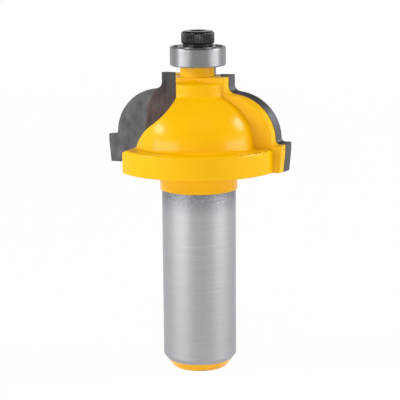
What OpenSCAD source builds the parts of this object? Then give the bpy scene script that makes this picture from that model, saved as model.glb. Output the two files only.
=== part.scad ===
// Two-wing router bit with a guide bearing on its end.
// Origin at the centre of the shank's end face, +Z along the shank towards the bearing.
// The cutting edges point along +X and -X. The bit turns counter-clockwise seen from the bearing.

/* [Shank] */
// Diameter of the shank
shank_d = 12.7; // [8:0.05:12.7]
// Height of the shank's end face to the collar
shank_h = 31.5; // [20:0.5:60]
// Diameter of the shank's end face, inside its chamfer
shank_end_d = 9.6; // [6:0.1:10]
// Height of the chamfer at the shank's end
shank_chamfer_h = 2.1; // [0.5:0.1:3]

/* [Turned body] */
// How far the collar stands out from the shank
collar_step = 0.3; // [0.2:0.05:1]
// Height of the collar between shank and disc
collar_h = 3.85; // [2:0.05:8]
// Diameter of the disc under the dome
disc_d = 28.8; // [26.6:0.1:29.4]
// Thickness of the disc
disc_h = 3.95; // [3:0.05:4.4]
// Rounding of the disc's upper edge
disc_round = 0.4; // [0.1:0.05:0.8]
// Bevel of the disc's lower edge
disc_bevel = 0.1; // [0.05:0.05:0.5]
// Diameter of the dome at its foot
dome_d = 22.6; // [20:0.1:24]
// Radius of the dome's outline
dome_r = 9.4; // [8.8:0.1:10]
// Hollow rounding between the dome and the disc
foot_cove = 0.5; // [0.2:0.05:0.8]
// Diameter of the small shoulder above the dome
shoulder_d = 12; // [11:0.1:12.4]
// Height of the shoulder's top above the disc's top
shoulder_h = 10.65; // [10.4:0.05:11]
// Hollow rounding under the shoulder
shoulder_cove = 0.85; // [0.4:0.05:1]
// Rounding of the shoulder's top edge
shoulder_round = 0.3; // [0.1:0.05:0.4]
// Diameter of the post that carries the bearing
post_d = 6.1; // [5.6:0.1:6.2]
// Height of the bearing's seat above the shoulder
post_h = 2.65; // [1.8:0.05:6]
// Hollow rounding at the post's foot
post_cove = 0.9; // [0.3:0.05:1.2]

/* [Cutting profile] */
// Diameter over the lower cutting edges
cut_d = 32.66; // [32:0.02:34]
// Height of the straight part of the lower edge
tab_straight = 1.3; // [0.5:0.1:3]
// How far the lower edge leans in at its bottom
tab_lean = 0.34; // [0:0.02:0.8]
// Height of the lower edge's top above its bottom
tab_h = 4.87; // [4.5:0.01:5]
// Radius of the bead, measured square to the clearance
bead_r = 7.98; // [7.6:0.02:8.2]
// Distance of the bead's centre from the axis
bead_x = 6.45; // [6.3:0.05:6.6]
// Height of the bead's centre above the wings' bottom
bead_z = 5.1; // [4.9:0.05:5.3]
// Radius of the small cove between the bead and the lower edge
low_cove = 0.7; // [0.4:0.05:1]
// Radius of the small cove between the bead and the end step
top_cove = 1.2; // [0.6:0.05:1.4]
// Distance of the end step's edge from the axis
step_x = 6.46; // [6:0.02:7]
// Height of the wings
wing_h = 15.9; // [15:0.05:16.4]
// Radial clearance behind the cutting edges, in degrees
clear_radial = 13.5; // [8:0.5:16]
// Axial clearance behind the cutting edges, in degrees
clear_axial = 4.5; // [2:0.5:7]

/* [Wings and gullets] */
// How far the rake faces lie ahead of the axis
rake_ahead = 0.2; // [0:0.05:0.6]
// Thickness of a carbide tip
tip_t = 1.85; // [1.5:0.05:2.2]
// Thickness of the steel fin behind a carbide tip
fin_t = 1.45; // [1:0.05:2]
// How far the steel fin stays behind the carbide's surface
fin_inset = 0.08; // [0.04:0.02:0.2]
// Distance of the gullet's upper wall from the axis, on the rake face
gullet_x = 3.95; // [3.7:0.05:4.2]
// Distance from the axis of the bend where the wall's hollow turns into its bulge
gullet_bend_x = 8.65; // [8.5:0.05:8.8]
// Height of that bend above the wings' bottom
gullet_bend_z = 5.55; // [5.3:0.05:5.8]
// Slope of the wall at the bend, in degrees from the axis
gullet_slope = 58; // [56:1:61]
// Radius of the wall's hollow
gullet_hollow = 12; // [12:0.5:15]
// Radius of the wall's bulge
gullet_bulge = 5.6; // [5.2:0.1:6]
// Distance of the wall from the axis where it goes down through the disc
gullet_out = 13.75; // [13.2:0.05:14]
// Height of the ledge above the wings' bottom, where it meets that last wall
gullet_ledge_z = 0.65; // [0.4:0.05:1]
// Slope of the ledge, in degrees from the axis
gullet_ledge_slope = 65; // [60:1:75]
// Turn of the mill towards the axis, in degrees
gullet_turn_in = 20.5; // [16:0.5:24]
// Rise of the mill towards the bearing, in degrees
gullet_rise = 14.5; // [8:0.5:18]

/* [Bearing] */
// Outside diameter of the guide bearing
bearing_od = 9.525; // [8:0.025:12.7]
// Bore of the guide bearing
bearing_bore = 4.7625; // [4:0.0125:4.8]
// Width of the guide bearing
bearing_w = 3.175; // [3:0.025:4]
// Rounding of the rings' outer edges
ring_round = 0.25; // [0.1:0.05:0.35]
// Diameter of a ball
ball_d = 1.588; // [1.2:0.002:1.7]
// Space between a ball and what it runs in
ball_gap = 0.025; // [0.015:0.005:0.05]
// Wall of the inner ring beside its race
inner_wall = 0.7; // [0.6:0.02:0.8]
// Wall of the outer ring beside its race
outer_wall = 0.7; // [0.6:0.02:0.8]
// Thickness of a shield
shield_t = 0.2; // [0.1:0.02:0.25]
// Space between a shield and the inner ring
shield_gap = 0.12; // [0.05:0.01:0.2]
// Depth of the shield's seat below the ring's face
shield_seat = 0.5; // [0.4:0.05:0.55]
// How far the snap ring's groove is cut into the outer ring
snap_depth = 0.12; // [0.06:0.02:0.16]
// Radial width of the snap ring
snap_w = 0.3; // [0.2:0.02:0.35]
// Thickness of the snap ring
snap_t = 0.18; // [0.1:0.02:0.2]
// Gap between the snap ring's ends
snap_gap = 1; // [0.4:0.1:2]
// Radial thickness of the cage
cage_t = 0.46; // [0.3:0.02:0.5]
// Thickness of the cage under the balls
cage_floor = 0.1; // [0.06:0.02:0.2]
// How far the cage's fingers reach above the balls' middle
cage_over = 0.25; // [0.1:0.05:0.4]
// Step in the outer ring that a shield rests on
shield_step = 0.25; // [0.15:0.05:0.3]

/* [Washer and screw] */
// Diameter of the washer
washer_d = 5.1; // [5:0.05:6]
// Thickness of the washer
washer_t = 0.5; // [0.3:0.05:1]
// Diameter of the screw's head
head_d = 5.6; // [5:0.05:6]
// Height of the screw's head
head_h = 2.15; // [1.8:0.05:3]
// Rounding of the head's top edge
head_round = 0.4; // [0.1:0.05:0.5]
// Width of the hexagon socket across its flats
socket_af = 2.5; // [2:0.1:2.6]
// Depth of the hexagon socket
socket_depth = 1.3; // [0.8:0.1:1.6]
// Diameter of the screw's thread
screw_d = 3; // [2:0.1:3]
// Length of the screw under its head
screw_l = 8; // [5:0.5:10]
// Space round the screw in its hole
screw_gap = 0.02; // [0.01:0.01:0.05]
// Room left under the screw's end
hole_spare = 1.2; // [0.5:0.1:3]
// How far the spindle stays below the bearing's upper face
spindle_short = 0.2; // [0.1:0.05:0.5]
// Space between the spindle and the bearing's bore
bore_gap = 0.01; // [0:0.005:0.02]

/* [Hidden] */

$fn = 96;
ball_count = 8;

paint_yellow = "#fcc200";
carbide_grey = "#6b6b6e";
steel_bright = "#b4b6ba";
steel_dark = "#26282b";
brass_gold = "#b89a50";

// Heights along the axis, from the shank's end face up
collar_z = shank_h;
disc_z = collar_z + collar_h;
disc_top = disc_z + disc_h;
shoulder_z = disc_top + shoulder_h;
seat_z = shoulder_z + post_h;
bearing_top = seat_z + bearing_w;
head_z = bearing_top + washer_t;
head_top = head_z + head_h;
bearing_mid = seat_z + bearing_w / 2;
wing_z = disc_z;
wing_top = wing_z + wing_h;

shank_r = shank_d / 2;
collar_r = shank_r + collar_step;
disc_r = disc_d / 2;
shoulder_r = shoulder_d / 2;
post_r = post_d / 2;
spindle_r = bearing_bore / 2 - bore_gap;
dome_x = dome_d / 2 - dome_r;

ball_r = ball_d / 2;
race_r = ball_r + ball_gap;
inner_r = bearing_bore / 2 + inner_wall;
outer_r = bearing_od / 2 - outer_wall;
pitch_r = (inner_r + outer_r) / 2;
shield_r = outer_r + shield_step;

tip_back = rake_ahead - tip_t;
fin_back = tip_back - fin_t;

// A length that reaches past the whole part, and one that laps two pieces of one solid
past = 40;
lap = 0.5;

// Square block from low corner to high corner
module block(low, high) {
    translate(low) cube(high - low);
}

// Half of an outline, on the side that a revolve needs
module right_half() {
    intersection() {
        children();
        translate([0, -past]) square([past, 4 * past]);
    }
}

// Hollow rounding in the corner of a wall at x and a floor at z
module corner_cove(x, z, r) {
    difference() {
        translate([x - lap, z - lap]) square(r + lap);
        translate([x + r, z + r]) circle(r);
    }
}

// Centre of a hollow rounding between a wall at x and a round outline below it
function wall_cove(x, centre, round_r, r) =
    [x + r, centre.y + sqrt(pow(round_r + r, 2) - pow(x + r - centre.x, 2))];

// Centre of a hollow rounding between a round outline and a floor at z beside it
function floor_cove(z, centre, round_r, r) =
    [centre.x + sqrt(pow(round_r + r, 2) - pow(z + r - centre.y, 2)), z + r];

// Bar from height low to high whose upper outer edge, and lower one if asked, is rounded
module rounded_bar(r, low, high, top_round, low_round = 0) {
    translate([0, low + low_round]) square([r, high - low - top_round - low_round]);
    translate([0, low]) square([r - max(top_round, low_round), high - low]);
    translate([r - top_round, high - top_round]) circle(top_round);
    if (low_round > 0) translate([r - low_round, low + low_round]) circle(low_round);
}

// Outline of the turned steel, from the shank's end to the bearing's spindle
module turned_outline() {
    neck = wall_cove(shoulder_r, [dome_x, disc_top], dome_r, shoulder_cove);
    polygon([
        [0, 0], [shank_end_d / 2, 0], [shank_r, shank_chamfer_h],
        [shank_r, collar_z + lap], [0, collar_z + lap]
    ]);
    translate([0, collar_z]) square([collar_r, collar_h + lap]);
    polygon([
        [0, disc_z], [disc_r - disc_bevel, disc_z], [disc_r, disc_z + disc_bevel],
        [disc_r, disc_top - disc_round], [0, disc_top - disc_round]
    ]);
    rounded_bar(disc_r, disc_z + disc_bevel, disc_top, disc_round);
    intersection() {
        translate([dome_x, disc_top]) circle(dome_r);
        translate([0, disc_top - lap]) square([past, past]);
    }
    translate([0, disc_top - lap]) square([dome_x, dome_r + lap]);
    corner_cove(dome_d / 2, disc_top, foot_cove);
    difference() {
        polygon([
            [dome_x - lap, disc_top], [dome_x, disc_top], neck,
            [shoulder_r, neck.y], [shoulder_r - lap, neck.y]
        ]);
        translate(neck) circle(shoulder_cove);
    }
    rounded_bar(shoulder_r, disc_top, shoulder_z, shoulder_round);
    corner_cove(post_r, shoulder_z, post_cove);
    translate([0, shoulder_z - lap]) square([post_r, post_h + lap]);
    translate([0, seat_z - lap]) square([spindle_r, bearing_w - spindle_short + lap]);
}

// A point of the rake face as seen along the clearance, from its distance and height
function seen(x, z) = [
    x * cos(clear_radial),
    z * cos(clear_axial) - x * sin(clear_radial) * sin(clear_axial)
];

// Cutting profile seen along the clearance, moved inward by inset: end step, cove, bead,
// cove and the lower edge with its lean
module profile_outline(inset) {
    bead = seen(bead_x, bead_z);
    round_r = bead_r - inset;
    step = seen(step_x, wing_h) - [inset, inset];
    tab = seen(cut_d / 2, tab_h) - [inset, inset];
    tab_mid = seen(cut_d / 2, tab_h - tab_straight) - [inset, inset];
    tab_low = seen(cut_d / 2 - tab_lean, 0) - [inset, 0];
    high = wall_cove(step.x, bead, round_r, top_cove + inset);
    low = floor_cove(tab.y, bead, round_r, low_cove + inset);
    difference() {
        union() {
            polygon([
                [-past, -past], tab_low - [0, past], tab_low, tab_mid, tab,
                [low.x, tab.y], low, bead, high, [step.x, high.y], step, [-past, step.y]
            ]);
            translate(bead) circle(round_r);
        }
        translate(high) circle(top_cove + inset);
        translate(low) circle(low_cove + inset);
    }
}

// Bar with the cutting profile, running back along the clearance from before the rake face
module relieved_bar(inset) {
    translate([0, rake_ahead, wing_z])
        rotate([clear_axial, 0, -clear_radial])
            rotate([90, 0, 0])
                linear_extrude(past, center = true) profile_outline(inset);
}

// A point of the rake face as seen along the mill's axis
function milled(x, z) = [
    x * cos(gullet_turn_in),
    z * cos(gullet_rise) + x * sin(gullet_turn_in) * sin(gullet_rise)
];

// Area that the mill clears, seen along its axis: down beside the post, outward in a hollow
// and round a bulge, over a ledge, then down through the disc's rim
module gullet_outline() {
    wall = milled(gullet_x, 0).x;
    bend = milled(gullet_bend_x, gullet_bend_z);
    away = [cos(gullet_slope), sin(gullet_slope)];
    hollow = bend + gullet_hollow * away;
    bulge = bend - gullet_bulge * away;
    edge = milled(gullet_out, gullet_ledge_z);
    ledge = edge + gullet_bulge * [-sin(gullet_ledge_slope), cos(gullet_ledge_slope)];
    difference() {
        union() {
            polygon([
                [wall, past], [wall, hollow.y], hollow, bulge, ledge, edge,
                [edge.x, -past], [past, -past], [past, past]
            ]);
            intersection() {
                translate(hollow) circle(gullet_hollow);
                translate([wall, 0]) square(past);
            }
        }
        translate(bulge) circle(gullet_bulge);
    }
}

// Space that the mill clears ahead of the plane y = back
module gullet_space(back) {
    intersection() {
        translate([0, rake_ahead, wing_z])
            rotate([gullet_rise, 0, gullet_turn_in])
                rotate([90, 0, 0])
                    linear_extrude(2 * past, center = true) gullet_outline();
        block([-past, back, -past], [past, past, 3 * past]);
    }
}

// Steel fin that carries a carbide tip
module fin() {
    intersection() {
        relieved_bar(fin_inset);
        block([-shoulder_r, fin_back, wing_z], [past, rake_ahead, wing_top + past]);
    }
}

module body() {
    color(paint_yellow)
        difference() {
            union() {
                rotate_extrude() right_half() turned_outline();
                fin();
                rotate(180) fin();
            }
            gullet_space(tip_back);
            rotate(180) gullet_space(tip_back);
            translate([0, 0, head_z - screw_l - hole_spare])
                cylinder(r = screw_d / 2 + screw_gap, h = past);
        }
}

// Carbide tip, in the gullet's seat
module tip() {
    color(carbide_grey)
        intersection() {
            relieved_bar(0);
            gullet_space(tip_back);
            block([0, tip_back, wing_z], [past, rake_ahead, wing_top + past]);
        }
}

module cutter_1() {
    tip();
}

module cutter_2() {
    rotate(180) tip();
}

// Half outline that is the same above and below the bearing's middle
module both_ways() {
    children();
    mirror([0, 1]) children();
}

module bearing_inner_ring() {
    color(steel_bright)
        translate([0, 0, bearing_mid])
            rotate_extrude()
                difference() {
                    translate([bearing_bore / 2, -bearing_w / 2]) square([inner_wall, bearing_w]);
                    translate([pitch_r, 0]) circle(race_r);
                }
}

// Seat for a shield and groove for its snap ring, at the outer ring's upper face
module shield_seat_outline() {
    translate([0, bearing_w / 2 - shield_seat]) square([shield_r, past]);
    translate([0, bearing_w / 2 - shield_seat + shield_t]) square([shield_r + snap_depth, snap_t]);
}

module bearing_outer_ring() {
    color(steel_bright)
        translate([0, 0, bearing_mid])
            rotate_extrude()
                difference() {
                    rounded_bar(bearing_od / 2, -bearing_w / 2, bearing_w / 2, ring_round, ring_round);
                    translate([0, -past]) square([outer_r, 2 * past]);
                    translate([pitch_r, 0]) circle(race_r);
                    both_ways() shield_seat_outline();
                }
}

module shield() {
    color(steel_bright)
        rotate_extrude()
            translate([inner_r + shield_gap, bearing_w / 2 - shield_seat])
                square([shield_r - inner_r - shield_gap, shield_t]);
}

module shield_top() {
    translate([0, 0, bearing_mid]) shield();
}

module shield_bottom() {
    translate([0, 0, bearing_mid]) mirror([0, 0, 1]) shield();
}

// Split ring that holds a shield in its seat
module snap_ring() {
    color(steel_bright)
        difference() {
            rotate_extrude()
                translate([shield_r + snap_depth - snap_w, bearing_w / 2 - shield_seat + shield_t])
                    square([snap_w, snap_t]);
            block([0, -snap_gap / 2, -past], [past, snap_gap / 2, past]);
        }
}

module snap_ring_top() {
    translate([0, 0, bearing_mid]) snap_ring();
}

module snap_ring_bottom() {
    translate([0, 0, bearing_mid]) mirror([0, 0, 1]) snap_ring();
}

// Places a child at the pitch circle, once for ball number i
module at_ball(i) {
    translate([0, 0, bearing_mid]) rotate(360 * (i - 1) / ball_count) translate([pitch_r, 0, 0]) children();
}

// Crown cage: a ring below the balls' middle whose pockets close just over it
module bearing_cage() {
    color(brass_gold)
        difference() {
            translate([0, 0, bearing_mid])
                rotate_extrude()
                    translate([pitch_r - cage_t / 2, -race_r - cage_floor])
                        square([cage_t, race_r + cage_floor + cage_over]);
            for (i = [1:ball_count]) at_ball(i) sphere(race_r);
        }
}

module ball(i) {
    color(steel_bright) at_ball(i) sphere(ball_r);
}

module washer() {
    color(steel_dark)
        translate([0, 0, bearing_top])
            difference() {
                cylinder(d = washer_d, h = washer_t);
                translate([0, 0, -lap]) cylinder(r = screw_d / 2 + screw_gap, h = washer_t + 2 * lap);
            }
}

module cap_screw() {
    color(steel_dark)
        difference() {
            union() {
                rotate_extrude() right_half() rounded_bar(head_d / 2, head_z, head_top, head_round);
                translate([0, 0, head_z - screw_l]) cylinder(d = screw_d, h = screw_l + lap);
            }
            translate([0, 0, head_top - socket_depth])
                cylinder(d = socket_af / cos(30), h = past, $fn = 6);
        }
}

body();
cutter_1();
cutter_2();
bearing_inner_ring();
bearing_outer_ring();
bearing_cage();
for (i = [1:ball_count]) ball(i);
shield_top();
shield_bottom();
snap_ring_top();
snap_ring_bottom();
washer();
cap_screw();
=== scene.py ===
import math

import bmesh
import bpy
from mathutils import Matrix, Vector


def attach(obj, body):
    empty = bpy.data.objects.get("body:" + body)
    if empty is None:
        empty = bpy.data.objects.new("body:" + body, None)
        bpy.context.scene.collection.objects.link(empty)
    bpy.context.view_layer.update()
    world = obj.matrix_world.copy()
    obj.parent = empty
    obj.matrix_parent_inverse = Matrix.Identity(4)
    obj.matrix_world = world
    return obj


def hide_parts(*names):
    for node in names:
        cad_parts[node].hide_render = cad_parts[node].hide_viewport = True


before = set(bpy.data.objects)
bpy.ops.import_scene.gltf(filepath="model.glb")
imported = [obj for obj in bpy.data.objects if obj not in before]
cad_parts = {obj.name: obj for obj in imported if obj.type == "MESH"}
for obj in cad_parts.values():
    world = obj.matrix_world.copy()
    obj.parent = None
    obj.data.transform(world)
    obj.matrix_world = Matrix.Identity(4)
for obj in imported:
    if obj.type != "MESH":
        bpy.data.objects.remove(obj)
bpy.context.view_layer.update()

MM = 0.001

# Heights on the bit, above the shank's end face
PAINT_LOW = 1.41 * MM       # the shank's end is dipped in enamel up to here
COLLAR_Z = 31.5 * MM        # and the enamel of the head starts here
DISC_TOP = 39.3 * MM
WING_TOP = 51.25 * MM
HEAD_Z = 56.275 * MM        # underside of the screw's head
HEAD_TOP = 58.425 * MM

# Sockets of a Mix node: its two colours and its colour output, and its two plain values
FROM, TO, MIXED = 6, 7, 2
LOW, HIGH = 2, 3

# Times this, a point keeps only its offset from the bit's axis
FLAT = (1, 1, 0)


def linear(code):
    """sRGB hex colour as the linear colour that the shaders take"""
    values = [int(code[i:i + 2], 16) / 255 for i in (0, 2, 4)]
    return [v / 12.92 if v <= 0.04045 else ((v + 0.055) / 1.055) ** 2.4 for v in values] + [1.0]


def add(tree, kind, inputs=None, out=0, **settings):
    """Adds one node: inputs by socket, as values or other nodes' outputs, and its own settings"""
    made = tree.nodes.new("ShaderNode" + kind)
    for name, value in settings.items():
        setattr(made, name, value)
    for socket, value in (inputs or {}).items():
        if isinstance(value, bpy.types.NodeSocket):
            tree.links.new(value, made.inputs[socket])
        else:
            made.inputs[socket].default_value = value
    return made.outputs[out] if made.outputs else None


def new_material(name):
    """An empty material and its node tree"""
    material = bpy.data.materials.new(name)
    material.use_nodes = True
    material.node_tree.nodes.clear()
    return material, material.node_tree


# Materials

def enamel_over_ground_steel():
    """Baked yellow enamel over turned steel: one even, deep yellow with a soft gloss, a faint
    orange peel and dust nibs, thin and brownish where it chipped along the disc's edge. Between
    the enamel's edges the shank is centreless ground: a satin grey with broad soft bands of light,
    hair-fine rings and a few light scratches, and a mottled painted shade near the collar, under
    the disc."""
    cloud_size, grain_size, nib_size, peel_size = 5 * MM, 0.15 * MM, 0.45 * MM, 0.9 * MM
    chip_size, mottle_size, ragged_size = 0.5 * MM, 0.4 * MM, 1.2 * MM
    # real grinding marks are far finer than a pixel, which is 0.17 mm here: drawn coarser, 0.07 mm
    # apart, they just show as a hair-fine grain
    ring_length, ring_gap = 9 * MM, 0.07 * MM
    scratch_length, scratch_width = 6 * MM, 0.35 * MM

    material, tree = new_material("enamel_over_ground_steel")
    where = add(tree, "TexCoord", out="Object")
    x, y, z = add(tree, "SeparateXYZ", {0: where}).node.outputs
    facing = add(tree, "SeparateXYZ", {0: add(tree, "TexCoord", out="Normal")}, out="Z")

    # the enamel's edge at the shank's end wanders by a tenth of a millimetre, and the one at the
    # collar was masked, so it runs straight
    ragged = add(tree, "TexNoise", {"Vector": where, "Scale": 1 / ragged_size, "Detail": 3.0})
    edge_z = add(tree, "Math", {0: ragged, 1: 0.16 * MM, 2: z}, operation="MULTIPLY_ADD")
    above = add(tree, "MapRange", {"Value": edge_z, "From Min": PAINT_LOW + 0.06 * MM,
                                   "From Max": PAINT_LOW + 0.10 * MM})
    below = add(tree, "MapRange", {"Value": z, "From Min": COLLAR_Z + 0.01 * MM,
                                   "From Max": COLLAR_Z - 0.01 * MM})
    shank = add(tree, "Math", {0: above, 1: below}, operation="MULTIPLY")

    # the wheel that grinds a rake face also bares the post's flank beside it: ahead and out are
    # the distances from the axis across and along the wing
    side = add(tree, "Math", {0: x}, operation="SIGN")
    ahead = add(tree, "Math", {0: y, 1: side}, operation="MULTIPLY")
    out = add(tree, "Math", {0: x}, operation="ABSOLUTE")
    turned = add(tree, "MapRange", {"Value": ahead, "From Min": -0.55 * MM, "From Max": -0.42 * MM})
    outer = add(tree, "MapRange", {"Value": out, "From Min": 1.4 * MM, "From Max": 1.6 * MM})
    inner = add(tree, "MapRange", {"Value": out, "From Min": 3.6 * MM, "From Max": 3.3 * MM})
    high = add(tree, "MapRange", {"Value": z, "From Min": WING_TOP - 0.15 * MM,
                                  "From Max": WING_TOP + 0.05 * MM})
    spent = add(tree, "MapRange", {"Value": ahead, "From Min": 0.95 * MM, "From Max": 0.8 * MM})
    upright = add(tree, "MapRange", {"Value": facing, "From Min": 0.9, "From Max": 0.5})
    flank = turned
    for mask in (outer, spent, inner, high, upright):
        flank = add(tree, "Math", {0: flank, 1: mask}, operation="MULTIPLY")
    bare = add(tree, "Math", {0: shank, 1: flank}, operation="MAXIMUM")

    # the enamel on top of one wing is dark grey-brown, from the post out to the carbide
    top = add(tree, "MapRange", {"Value": z, "From Min": WING_TOP - 0.35 * MM,
                                 "From Max": WING_TOP - 0.15 * MM})
    up = add(tree, "MapRange", {"Value": facing, "From Min": 0.9, "From Max": 0.97})
    behind = add(tree, "MapRange", {"Value": ahead, "From Min": -2.0 * MM, "From Max": -1.4 * MM})
    first = add(tree, "MapRange", {"Value": x, "From Min": 2.0 * MM, "From Max": 2.4 * MM})
    dark_wing_top = top
    for mask in (up, behind, first):
        dark_wing_top = add(tree, "Math", {0: dark_wing_top, 1: mask}, operation="MULTIPLY")

    # colour of the enamel: very even, with a fine grain, wide clouds and a few nibs
    clouds = add(tree, "TexNoise", {"Vector": where, "Scale": 1 / cloud_size, "Detail": 3.0})
    grain = add(tree, "TexNoise", {"Vector": where, "Scale": 1 / grain_size, "Detail": 1.0})
    nibs = add(tree, "TexNoise", {"Vector": where, "Scale": 1 / nib_size, "Detail": 0.0})
    nib = add(tree, "MapRange", {"Value": nibs, "From Min": 0.77, "From Max": 0.83})
    enamel = add(tree, "Mix", {0: clouds, FROM: linear("eeb200"), TO: linear("f7bd00")}, MIXED,
                 data_type="RGBA")
    speck = add(tree, "MapRange", {"Value": grain, "From Min": 0.3, "From Max": 0.9,
                                   "To Max": 0.22})
    enamel = add(tree, "Mix", {0: speck, FROM: enamel, TO: linear("dc9a00")}, MIXED,
                 data_type="RGBA")
    faint = add(tree, "Math", {0: nib, 1: 0.15}, operation="MULTIPLY")
    enamel = add(tree, "Mix", {0: faint, FROM: enamel, TO: linear("b07a08")}, MIXED,
                 data_type="RGBA")

    # chips in the enamel along the disc's upper edge, on both sides of each cutter
    level = add(tree, "VectorMath", {0: where, 1: FLAT}, operation="MULTIPLY")
    reach = add(tree, "VectorMath", {0: level}, "Value", operation="LENGTH")
    on_rim = add(tree, "MapRange", {"Value": reach, "From Min": 13.85 * MM, "From Max": 13.95 * MM})
    at_top = add(tree, "Math", {0: z, 1: DISC_TOP - 0.1 * MM, 2: 0.12 * MM}, operation="COMPARE")
    near = add(tree, "MapRange", {"Value": out, "From Min": 9.5 * MM, "From Max": 11.5 * MM})
    chips = add(tree, "TexNoise", {"Vector": where, "Scale": 1 / chip_size, "Detail": 4.0})
    chip = add(tree, "MapRange", {"Value": chips, "From Min": 0.5, "From Max": 0.58})
    for mask in (on_rim, at_top, near):
        chip = add(tree, "Math", {0: chip, 1: mask}, operation="MULTIPLY")
    thin = add(tree, "Math", {0: chip, 1: 0.7}, operation="MULTIPLY")
    enamel = add(tree, "Mix", {0: thin, FROM: enamel, TO: linear("7a5510")}, MIXED,
                 data_type="RGBA")
    dark_wing_top_colour = add(tree, "Mix", {0: chips, FROM: linear("15110f"), TO: linear("4c4845")}, MIXED,
               data_type="RGBA")
    enamel = add(tree, "Mix", {0: dark_wing_top, FROM: enamel, TO: dark_wing_top_colour}, MIXED, data_type="RGBA")

    # colour of the ground steel: rings, then a mottled painted shade towards the collar, where
    # the disc shades the shank, then a little rust at the foot of the bared flank
    squeezed = add(tree, "Mapping", {"Vector": where,
                                     "Scale": (1 / ring_length, 1 / ring_length, 1 / ring_gap)})
    rings = add(tree, "TexNoise", {"Vector": squeezed, "Scale": 1.0, "Detail": 1.0})
    steel = add(tree, "Mix", {0: rings, FROM: linear("9c9ca0"), TO: linear("b2b2b6")}, MIXED,
                data_type="RGBA")
    mottle = add(tree, "TexNoise", {"Vector": where, "Scale": 1 / mottle_size, "Detail": 4.0})
    painted_shade_under_disc = add(tree, "MapRange", {"Value": z, "From Min": COLLAR_Z - 4 * MM,
                                  "From Max": COLLAR_Z - 0.3 * MM})
    painted_shade_under_disc = add(tree, "Math", {0: painted_shade_under_disc, 1: mottle}, operation="MULTIPLY")
    steel = add(tree, "Mix", {0: painted_shade_under_disc, FROM: steel, TO: linear("343c4c")}, MIXED, data_type="RGBA")
    rust = add(tree, "MapRange", {"Value": z, "From Min": WING_TOP + 0.5 * MM, "From Max": WING_TOP,
                                  "To Max": 0.9})
    rust = add(tree, "Math", {0: rust, 1: flank}, operation="MULTIPLY")
    steel = add(tree, "Mix", {0: rust, FROM: steel, TO: linear("5a3a1c")}, MIXED, data_type="RGBA")

    # light scratches run round the shank on a slant
    stretched = add(tree, "Mapping", {"Vector": where, "Rotation": (0.5, 0.3, 0),
                                      "Scale": (1 / scratch_length, 1 / scratch_length,
                                                1 / scratch_width)})
    scratches = add(tree, "TexNoise", {"Vector": stretched, "Scale": 1.0, "Detail": 0.0})
    scratch = add(tree, "MapRange", {"Value": scratches, "From Min": 0.765, "From Max": 0.79,
                                     "To Max": 0.12})
    steel = add(tree, "Mix", {0: scratch, FROM: steel, TO: linear("e2e2e6")}, MIXED,
                data_type="RGBA")

    colour = add(tree, "Mix", {0: bare, FROM: enamel, TO: steel}, MIXED, data_type="RGBA")
    gloss = add(tree, "MapRange", {"Value": clouds, "To Min": 0.19, "To Max": 0.26})
    satin = add(tree, "MapRange", {"Value": rings, "To Min": 0.40, "To Max": 0.46})
    rough = add(tree, "Mix", {0: bare, LOW: gloss, HIGH: satin})
    peel = add(tree, "TexNoise", {"Vector": where, "Scale": 1 / peel_size, "Detail": 1.0})
    peel = add(tree, "Math", {0: nib, 1: 0.5, 2: peel}, operation="MULTIPLY_ADD")
    lines = add(tree, "Math", {0: rings, 1: 0.5}, operation="MULTIPLY")
    relief = add(tree, "Mix", {0: bare, LOW: peel, HIGH: lines})
    soft = add(tree, "Bevel", {"Radius": 0.18 * MM}, samples=8)
    normal = add(tree, "Bump", {"Height": relief, "Distance": 0.010 * MM, "Normal": soft})
    finish = add(tree, "BsdfPrincipled", {"Base Color": colour, "Metallic": bare,
                                          "Roughness": rough, "Specular IOR Level": 0.18,
                                          "Normal": normal})
    add(tree, "OutputMaterial", {"Surface": finish})
    return material


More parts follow.
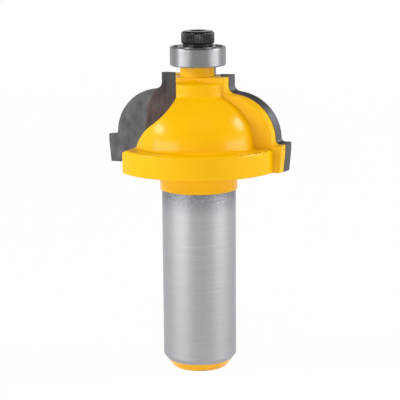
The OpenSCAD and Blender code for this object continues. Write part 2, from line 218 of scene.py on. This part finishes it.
def ground_carbide():
    """Tungsten carbide, diamond ground: dark neutral grey with a dull metallic shine. The rake face
    is lapped and clouded, and near the steel it keeps the dark, brownish bloom of the brazing."""
    cloud_width, cloud_height = 1.7 * MM, 2.6 * MM
    # real lapping marks are far finer than a pixel, so they are drawn coarser, 0.12 mm wide
    lapping_width, lapping_length = 0.12 * MM, 1.6 * MM
    pit_size = 0.22 * MM

    material, tree = new_material("ground_tungsten_carbide")
    where = add(tree, "TexCoord", out="Object")
    x, _, z = add(tree, "SeparateXYZ", {0: where}).node.outputs
    out = add(tree, "Math", {0: x}, operation="ABSOLUTE")
    # the rake faces are the ones that look along Y
    sideways = add(tree, "SeparateXYZ", {0: add(tree, "TexCoord", out="Normal")}, out="Y")
    sideways = add(tree, "Math", {0: sideways}, operation="ABSOLUTE")
    rake = add(tree, "MapRange", {"Value": sideways, "From Min": 0.97, "From Max": 0.995})

    tall = add(tree, "Mapping", {"Vector": where,
                                 "Scale": (1 / cloud_width, 1 / cloud_width, 1 / cloud_height)})
    clouds = add(tree, "TexNoise", {"Vector": tall, "Scale": 1.0, "Detail": 5.0, "Roughness": 0.6})
    lines = add(tree, "Mapping", {"Vector": where,
                                  "Scale": (1 / lapping_width, 1 / lapping_width,
                                            1 / lapping_length)})
    lapping = add(tree, "TexNoise", {"Vector": lines, "Scale": 1.0, "Detail": 3.0})
    pits = add(tree, "TexNoise", {"Vector": where, "Scale": 1 / pit_size, "Detail": 2.0})
    cloud = add(tree, "MapRange", {"Value": clouds, "From Min": 0.3, "From Max": 0.74})
    grey = add(tree, "Mix", {0: cloud, FROM: linear("424243"), TO: linear("666667")}, MIXED,
               data_type="RGBA")
    line = add(tree, "MapRange", {"Value": lapping, "From Min": 0.4, "From Max": 0.75,
                                  "To Max": 0.45})
    grey = add(tree, "Mix", {0: line, FROM: grey, TO: linear("4a4a4b")}, MIXED, data_type="RGBA")

    # the bloom's edge is a distance from the axis: it leans outward down to 45 mm above the
    # shank's end and is nearly upright below that
    wobble = add(tree, "Math", {0: clouds, 1: 1.0 * MM, 2: -0.5 * MM}, operation="MULTIPLY_ADD")
    leaning = add(tree, "Math", {0: z, 1: -0.42, 2: 28.05 * MM}, operation="MULTIPLY_ADD")
    upright = add(tree, "Math", {0: z, 1: -0.10, 2: 13.7 * MM}, operation="MULTIPLY_ADD")
    edge = add(tree, "Math", {0: leaning, 1: upright}, operation="MINIMUM")
    edge = add(tree, "Math", {0: edge, 1: wobble}, operation="ADD")
    depth = add(tree, "Math", {0: edge, 1: out}, operation="SUBTRACT")
    bloomed = add(tree, "MapRange", {"Value": depth, "From Min": -0.15 * MM, "From Max": 0.2 * MM},
                  interpolation_type="SMOOTHSTEP")
    # it is brownest along that edge, and streaked with brown below 50 mm
    tide = add(tree, "MapRange", {"Value": depth, "From Min": 0.7 * MM, "From Max": 0.1 * MM,
                                  "To Max": 0.6})
    rusty = add(tree, "MapRange", {"Value": lapping, "From Min": 0.42, "From Max": 0.62})
    low = add(tree, "MapRange", {"Value": z, "From Min": 50 * MM, "From Max": 46 * MM})
    rusty = add(tree, "Math", {0: rusty, 1: low}, operation="MULTIPLY")
    rusty = add(tree, "Math", {0: rusty, 1: tide}, operation="MAXIMUM")
    rusty = add(tree, "Math", {0: rusty, 1: 0.7}, operation="MULTIPLY")
    bloom = add(tree, "Mix", {0: cloud, FROM: linear("2c2b2b"), TO: linear("4c4a4b")}, MIXED,
                data_type="RGBA")
    bloom = add(tree, "Mix", {0: rusty, FROM: bloom, TO: linear("5c443c")}, MIXED, data_type="RGBA")
    face = add(tree, "Mix", {0: bloomed, FROM: grey, TO: bloom}, MIXED, data_type="RGBA")

    flank = add(tree, "Mix", {0: pits, FROM: linear("56575a"), TO: linear("66676b")}, MIXED,
                data_type="RGBA")
    colour = add(tree, "Mix", {0: rake, FROM: flank, TO: face}, MIXED, data_type="RGBA")
    rough = add(tree, "MapRange", {"Value": clouds, "To Min": 0.38, "To Max": 0.55})
    soft = add(tree, "Bevel", {"Radius": 0.03 * MM}, samples=4)
    normal = add(tree, "Bump", {"Height": lapping, "Distance": 0.005 * MM, "Normal": soft})
    finish = add(tree, "BsdfPrincipled", {"Base Color": colour, "Metallic": 1.0, "Roughness": rough,
                                          "Normal": normal})
    add(tree, "OutputMaterial", {"Surface": finish})
    return material


def honed_bearing_steel():
    """Hardened chrome steel, ground and honed round the axis: its marks draw each light out into
    an upright band, with more contrast than on the shank, and hair-fine rings show in the bands."""
    # real honing marks are far finer than a pixel, so they are drawn coarser, 0.08 mm apart
    ring_length, ring_gap = 5 * MM, 0.08 * MM

    material, tree = new_material("honed_bearing_steel")
    where = add(tree, "TexCoord", out="Object")
    squeezed = add(tree, "Mapping", {"Vector": where,
                                     "Scale": (1 / ring_length, 1 / ring_length, 1 / ring_gap)})
    rings = add(tree, "TexNoise", {"Vector": squeezed, "Scale": 1.0, "Detail": 2.0})
    colour = add(tree, "Mix", {0: rings, FROM: linear("848488"), TO: linear("9c9ca0")}, MIXED,
                 data_type="RGBA")
    rough = add(tree, "MapRange", {"Value": rings, "To Min": 0.40, "To Max": 0.46})
    soft = add(tree, "Bevel", {"Radius": 0.06 * MM}, samples=4)
    normal = add(tree, "Bump", {"Height": rings, "Distance": 0.002 * MM, "Normal": soft})
    round_the_axis = add(tree, "Tangent", direction_type="RADIAL", axis="Z")
    finish = add(tree, "BsdfPrincipled", {"Base Color": colour, "Metallic": 1.0, "Roughness": rough,
                                          "Anisotropic": 0.8, "Anisotropic Rotation": 0.25,
                                          "Normal": normal, "Tangent": round_the_axis})
    add(tree, "OutputMaterial", {"Surface": finish})
    return material


def pressed_sheet_steel():
    """Sheet steel as it comes from the press, with a film of grease: dull, with patches of light
    and dark."""
    patch_size = 0.5 * MM

    material, tree = new_material("pressed_sheet_steel")
    where = add(tree, "TexCoord", out="Object")
    patches = add(tree, "TexNoise", {"Vector": where, "Scale": 1 / patch_size, "Detail": 4.0})
    patch = add(tree, "MapRange", {"Value": patches, "From Min": 0.4, "From Max": 0.6})
    colour = add(tree, "Mix", {0: patch, FROM: linear("48484a"), TO: linear("c0c0c4")}, MIXED,
                 data_type="RGBA")
    rough = add(tree, "MapRange", {"Value": patches, "To Min": 0.5, "To Max": 0.3})
    soft = add(tree, "Bevel", {"Radius": 0.03 * MM}, samples=4)
    normal = add(tree, "Bump", {"Height": patches, "Distance": 0.02 * MM, "Normal": soft})
    finish = add(tree, "BsdfPrincipled", {"Base Color": colour, "Metallic": 1.0, "Roughness": rough,
                                          "Normal": normal})
    add(tree, "OutputMaterial", {"Surface": finish})
    return material


def black_oxide_steel():
    """Steel blacked in a hot bath and oiled: near black with a soft sheen, in clouds of darker and
    greyer black, lighter grey on the crests of the knurl, and a painted highlight, clouded like
    wear, round the head's top edge."""
    cloud_size = 0.5 * MM

    material, tree = new_material("black_oxide_steel")
    where = add(tree, "TexCoord", out="Object")
    clouds = add(tree, "TexNoise", {"Vector": where, "Scale": 1 / cloud_size, "Detail": 4.0})
    wear = add(tree, "MapRange", {"Value": clouds, "From Min": 0.4, "From Max": 0.7})
    colour = add(tree, "Mix", {0: wear, FROM: linear("18181a"), TO: linear("323336")}, MIXED,
                 data_type="RGBA")

    # the crests of the knurl are lighter grey, and the rounded edge of the head's top carries a
    # painted highlight, clouded like wear
    level = add(tree, "VectorMath", {0: where, 1: FLAT}, operation="MULTIPLY")
    reach = add(tree, "VectorMath", {0: level}, "Value", operation="LENGTH")
    crest = add(tree, "MapRange", {"Value": reach, "From Min": 2.72 * MM, "From Max": 2.80 * MM,
                                   "To Max": 0.35})
    z = add(tree, "SeparateXYZ", {0: where}, out="Z")
    over = add(tree, "MapRange", {"Value": z, "From Min": HEAD_TOP - 0.42 * MM,
                                  "From Max": HEAD_TOP - 0.3 * MM})
    under = add(tree, "MapRange", {"Value": z, "From Min": HEAD_TOP - 0.08 * MM,
                                   "From Max": HEAD_TOP - 0.16 * MM})
    edge = add(tree, "Math", {0: under, 1: over}, operation="MULTIPLY")
    edge = add(tree, "Math", {0: edge, 1: wear}, operation="MULTIPLY")
    light_crests_and_rim_highlight = add(tree, "Math", {0: edge, 1: crest}, operation="MAXIMUM")
    colour = add(tree, "Mix", {0: light_crests_and_rim_highlight, FROM: colour, TO: linear("5c5e62")}, MIXED,
                 data_type="RGBA")
    rough = add(tree, "MapRange", {"Value": clouds, "To Min": 0.16, "To Max": 0.26})
    soft = add(tree, "Bevel", {"Radius": 0.03 * MM}, samples=4)
    normal = add(tree, "Bump", {"Height": clouds, "Distance": 0.012 * MM, "Normal": soft})
    finish = add(tree, "BsdfPrincipled", {"Base Color": colour, "Metallic": 0.7, "Roughness": rough,
                                          "Normal": normal})
    add(tree, "OutputMaterial", {"Surface": finish})
    return material


def stamped_brass():
    """Stamped brass, tumbled: warm yellow and satin, slightly uneven in tone."""
    cloud_size = 0.4 * MM

    material, tree = new_material("stamped_brass")
    where = add(tree, "TexCoord", out="Object")
    clouds = add(tree, "TexNoise", {"Vector": where, "Scale": 1 / cloud_size, "Detail": 3.0})
    colour = add(tree, "Mix", {0: clouds, FROM: linear("a9853b"), TO: linear("c9a65a")}, MIXED,
                 data_type="RGBA")
    rough = add(tree, "MapRange", {"Value": clouds, "To Min": 0.32, "To Max": 0.44})
    soft = add(tree, "Bevel", {"Radius": 0.03 * MM}, samples=4)
    normal = add(tree, "Bump", {"Height": clouds, "Distance": 0.006 * MM, "Normal": soft})
    finish = add(tree, "BsdfPrincipled", {"Base Color": colour, "Metallic": 1.0, "Roughness": rough,
                                          "Normal": normal})
    add(tree, "OutputMaterial", {"Surface": finish})
    return material


def dress(name, material):
    """Puts the material in every slot of a CAD node"""
    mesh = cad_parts[name].data
    for i in range(len(mesh.materials)):
        mesh.materials[i] = material


enamel = enamel_over_ground_steel()
carbide = ground_carbide()
ring_steel = honed_bearing_steel()
sheet_steel = pressed_sheet_steel()
black = black_oxide_steel()
brass = stamped_brass()

dress("body", enamel)
for name in ("cutter_1", "cutter_2"):
    dress(name, carbide)
for name in ["bearing_inner_ring", "bearing_outer_ring"] + ["ball_%d" % i for i in range(1, 9)]:
    dress(name, ring_steel)
for name in ("shield_top", "shield_bottom", "snap_ring_top", "snap_ring_bottom"):
    dress(name, sheet_steel)
dress("bearing_cage", brass)
for name in ("washer", "cap_screw"):
    dress(name, black)


# Cap screw: knurled head, hexagon socket and the thread under the head

RIBS = 60
POINTS_PER_RIB = 4
RIB_DEPTH = 0.14 * MM
RIB_SHAPE = 4                # power of the sine from crest to crest: higher gives wider crests
SOCKET_FLAT = 1.25 * MM      # from the axis to a flat of the socket
DRILL_POINT = 0.55 * MM      # height of the drilled socket's deepest point in the head
THREAD_R = 1.5 * MM
THREAD_DEPTH = 0.29 * MM
THREAD_PITCH = 0.5 * MM
THREAD_LENGTH = 8.0 * MM
THREAD_POINTS = 48           # round the thread
STEPS_PER_TURN = 8           # along it
LEAD_IN_STEPS = 10           # over which the thread grows from the screw's end
LEAD_IN_TAPER = 0.3 * MM

# Outline of the head, from its underside to its top face: radius, height, both in mm, and the
# share of the knurl's depth
HEAD_OUTLINE = [
    (2.40, 0.0, 0), (2.60, 0.0, 0), (2.70, 0.05, 0.3), (2.79, 0.16, 1), (2.80, 0.30, 1),
    (2.80, 1.60, 1), (2.79, 1.70, 0.8), (2.74, 1.83, 0.35), (2.66, 1.95, 0.1), (2.55, 2.05, 0),
    (2.40, 2.12, 0), (2.22, 2.15, 0), (1.62, 2.15, 0)]

# Outline of the socket, from its countersunk mouth down: share of its width, and height in mm
SOCKET_OUTLINE = [(1.05, 2.13), (1.0, 2.05), (1.0, 0.85)]

# Radius of the disc that closes the head's underside, where the thread starts
UNDER_HEAD_R = 0.9 * THREAD_R

# Edges that turn by more than this stay crisp
SHARPEST = math.radians(38)


def ring(mesh, count, radius_at, z):
    """Vertices round the axis at height z, with a radius for each angle"""
    angles = [2 * math.pi * i / count for i in range(count)]
    return [mesh.verts.new((radius_at(a) * math.cos(a), radius_at(a) * math.sin(a), z))
            for a in angles]


def skin(mesh, rings):
    """Faces between neighbouring rings"""
    for low, high in zip(rings, rings[1:]):
        for i in range(len(low)):
            j = (i + 1) % len(low)
            mesh.faces.new((low[i], low[j], high[j], high[i]))


def cap(mesh, loop, z, upward):
    """Fan that closes a loop with one point on the axis, at height z"""
    tip = mesh.verts.new((0, 0, z))
    for i in range(len(loop)):
        pair = (loop[i], loop[(i + 1) % len(loop)])
        mesh.faces.new((pair[0], pair[1], tip) if upward else (pair[1], pair[0], tip))


def make_cap_screw():
    """The screw as two closed skins, head and thread, that take the CAD screw's place"""
    mesh = bmesh.new()
    count = POINTS_PER_RIB * RIBS
    rings = [ring(mesh, count, lambda a: UNDER_HEAD_R, HEAD_Z)]
    for r, h, share in HEAD_OUTLINE:
        def ribbed(a):
            return r * MM - share * RIB_DEPTH * abs(math.sin(RIBS * a / 2)) ** RIB_SHAPE
        rings.append(ring(mesh, count, ribbed, HEAD_Z + h * MM))
    sixth = math.pi / 3
    for grow, h in SOCKET_OUTLINE:
        def hexagon(a):
            return grow * SOCKET_FLAT / math.cos((a + sixth / 2) % sixth - sixth / 2)
        rings.append(ring(mesh, count, hexagon, HEAD_Z + h * MM))
    skin(mesh, rings)
    cap(mesh, rings[0], HEAD_Z, False)
    cap(mesh, rings[-1], HEAD_Z + DRILL_POINT, True)

    turns = []
    steps = int(THREAD_LENGTH / THREAD_PITCH) * STEPS_PER_TURN
    for k in range(steps + 1):
        z = HEAD_Z - THREAD_LENGTH * (1 - k / steps)
        grown = min(1, (k + 2) / LEAD_IN_STEPS)

        def threaded(a):
            wave = abs(2 * ((z / THREAD_PITCH - a / (2 * math.pi)) % 1) - 1)
            return THREAD_R - (1 - grown) * LEAD_IN_TAPER - THREAD_DEPTH * grown * wave
        turns.append(ring(mesh, THREAD_POINTS, threaded, z))
    skin(mesh, turns)
    cap(mesh, turns[0], HEAD_Z - THREAD_LENGTH, False)
    cap(mesh, turns[-1], HEAD_Z, True)

    bmesh.ops.recalc_face_normals(mesh, faces=mesh.faces)
    for face in mesh.faces:
        face.smooth = True
    for edge in mesh.edges:
        edge.smooth = len(edge.link_faces) < 2 or edge.calc_face_angle(0) < SHARPEST
    data = bpy.data.meshes.new("knurled_cap_screw")
    mesh.to_mesh(data)
    mesh.free()
    data.materials.append(black)
    screw = bpy.data.objects.new("knurled_cap_screw", data)
    bpy.context.scene.collection.objects.link(screw)
    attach(screw, "bit")
    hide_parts("cap_screw")


make_cap_screw()


# Camera

VIEW_TURN = math.radians(18.5)    # from square on to the wings, to the photograph's view
VIEW_TILT = math.radians(11.97)   # looking down
VIEW_ROLL = math.radians(-0.428)
VIEW_DISTANCE = 253.6 * MM
VIEW_AIM = Vector((0.173 * MM, 0, 29.276 * MM))
FOCAL_PIXELS = 1471.8             # focal length, in pixels of the photograph
PICTURE_PIXELS = 400              # the photograph's width
SENSOR = 36                       # in mm, as Blender takes it

camera = bpy.data.objects.new("camera", bpy.data.cameras.new("camera"))
bpy.context.scene.collection.objects.link(camera)
bpy.context.scene.camera = camera
camera.data.sensor_width = SENSOR
camera.data.lens = FOCAL_PIXELS / PICTURE_PIXELS * SENSOR
camera.data.clip_start = 0.01
camera.data.clip_end = 20
camera.matrix_world = (Matrix.Rotation(VIEW_TURN, 4, "Z") @ Matrix.Translation(VIEW_AIM)
                       @ Matrix.Rotation(math.pi / 2 - VIEW_TILT, 4, "X")
                       @ Matrix.Translation((0, 0, VIEW_DISTANCE))
                       @ Matrix.Rotation(VIEW_ROLL, 4, "Z"))


# Studio

LIT_POINT = Vector((0, 0, 42 * MM))     # all lamps look at the lower part of the cutters


def soft_box(name, side, height, distance, width, tall, brightness, mirrored=True):
    """A soft box at side degrees round from the camera (left is negative) and height degrees up,
    its size and distance in metres, with the brightness of its own face, where 1 is white"""
    light = bpy.data.lights.new(name, "AREA")
    light.shape = "RECTANGLE"
    light.size = width
    light.size_y = tall
    light.energy = brightness * math.pi * width * tall
    lamp = bpy.data.objects.new(name, light)
    bpy.context.scene.collection.objects.link(lamp)
    around = VIEW_TURN - math.pi / 2 + math.radians(side)
    rise = math.radians(height)
    away = Vector((math.cos(around) * math.cos(rise), math.sin(around) * math.cos(rise),
                   math.sin(rise)))
    lamp.location = LIT_POINT + away * distance
    lamp.rotation_mode = "QUATERNION"
    lamp.rotation_quaternion = away.to_track_quat("Z", "Y")
    lamp.visible_glossy = mirrored


# The two boxes give the enamel its highlights, the panels give the ground steel its bands, and
# the scrim fills the top with soft light that nothing mirrors
soft_box("soft_box_left", -81, 27, 0.6, 0.21, 0.14, 17.0)
soft_box("soft_box_right", 94, 31, 0.6, 0.23, 0.16, 15.0)
soft_box("bounce_panel_left", -58, 3.4, 0.7, 0.62, 0.15, 7.2)
soft_box("bounce_panel_right", 68, 3.4, 0.7, 0.50, 0.15, 7.0)
soft_box("overhead_scrim", 0, 52, 0.8, 0.7, 0.6, 0.95, mirrored=False)

# The room is white as far up as the backdrop reaches and dim above it. That is what is seen and
# mirrored: on matt surfaces it falls as an even, weak light
world = bpy.data.worlds.new("studio")
bpy.context.scene.world = world
world.use_nodes = True
tree = world.node_tree
tree.nodes.clear()
path = add(tree, "LightPath").node.outputs
rise = add(tree, "SeparateXYZ", {0: add(tree, "TexCoord", out="Generated")}, out="Z")
upward = add(tree, "MapRange", {"Value": rise, "From Min": 0.12, "From Max": 0.55},
             interpolation_type="SMOOTHSTEP")
room = add(tree, "Mix", {0: upward, FROM: (1, 1, 1, 1), TO: (0.2, 0.2, 0.2, 1)}, MIXED,
           data_type="RGBA")
seen = add(tree, "Math", {0: path["Is Camera Ray"], 1: path["Is Glossy Ray"]}, operation="ADD")
seen = add(tree, "Math", {0: seen, 1: path["Is Transmission Ray"]}, operation="ADD",
           use_clamp=True)
air = add(tree, "Mix", {0: seen, FROM: (0.3, 0.3, 0.3, 1), TO: room}, MIXED, data_type="RGBA")
add(tree, "OutputWorld", {"Surface": add(tree, "Background", {"Color": air})})

# A white paper sweep: it shows as white by itself, and near the part it keeps the part's shadow
FLOOR = 4.0                       # metres from the part to each side
corners = [(-FLOOR, -FLOOR, 0), (FLOOR, -FLOOR, 0), (FLOOR, FLOOR, 0), (-FLOOR, FLOOR, 0)]
floor_mesh = bpy.data.meshes.new("floor")
floor_mesh.from_pydata(corners, [], [(0, 1, 2, 3)])
floor = bpy.data.objects.new("floor", floor_mesh)
bpy.context.scene.collection.objects.link(floor)
paper, tree = new_material("white_paper_sweep")
path = add(tree, "LightPath").node.outputs
seen = add(tree, "Math", {0: path["Is Camera Ray"], 1: path["Is Glossy Ray"]}, operation="ADD")
seen = add(tree, "Math", {0: seen, 1: path["Is Transmission Ray"]}, operation="ADD",
           use_clamp=True)
where = add(tree, "TexCoord", out="Object")
reach = add(tree, "VectorMath", {0: where}, "Value", operation="LENGTH")
share = add(tree, "MapRange", {"Value": reach, "From Min": 0.1, "From Max": 0.6, "To Min": 0.95})
share = add(tree, "Math", {0: seen, 1: share}, operation="MULTIPLY")
matt = add(tree, "BsdfDiffuse", {"Color": (0.9, 0.9, 0.9, 1)})
white = add(tree, "Emission", {"Color": (1, 1, 1, 1), "Strength": 1.0})
add(tree, "OutputMaterial", {"Surface": add(tree, "MixShader", {0: share, 1: matt, 2: white})})
floor_mesh.materials.append(paper)

bpy.context.scene.view_settings.view_transform = "Standard"
